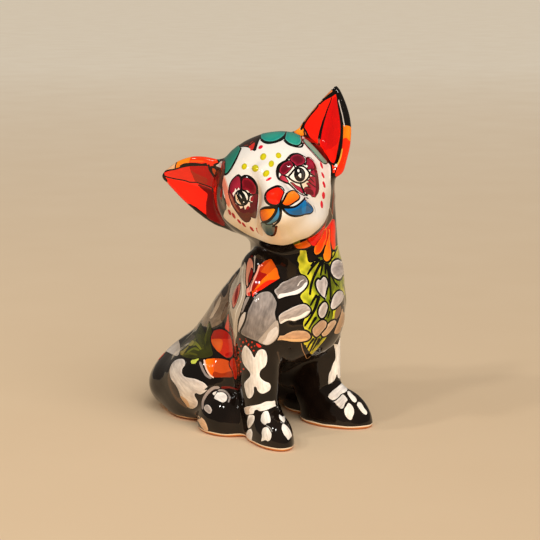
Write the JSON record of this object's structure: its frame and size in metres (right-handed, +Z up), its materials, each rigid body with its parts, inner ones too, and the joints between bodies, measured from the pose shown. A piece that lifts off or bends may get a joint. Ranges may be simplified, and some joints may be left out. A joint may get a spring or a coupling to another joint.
{
  "type": "talavera chihuahua statue",
  "caption": "Seated chihuahua statue in painted, glazed ceramic, head turned and tilted, ears upright, painted with bone shapes, petals and leaves.",
  "frame": {"origin": "centre of the statue's bounding box, on the table it stands on", "axes": "+Z up; the dog's chest and front paws point along -Y, its left side is at +X, its head is turned towards its right"},
  "size_m": [0.121, 0.1857, 0.2514],
  "materials": {
    "glaze": "glossy hand-painted glaze, mostly black and white with orange, red, green and blue"
  },
  "bodies": {
    "root": {"chihuahua_statue": "glaze"}
  },
  "joints": []
}
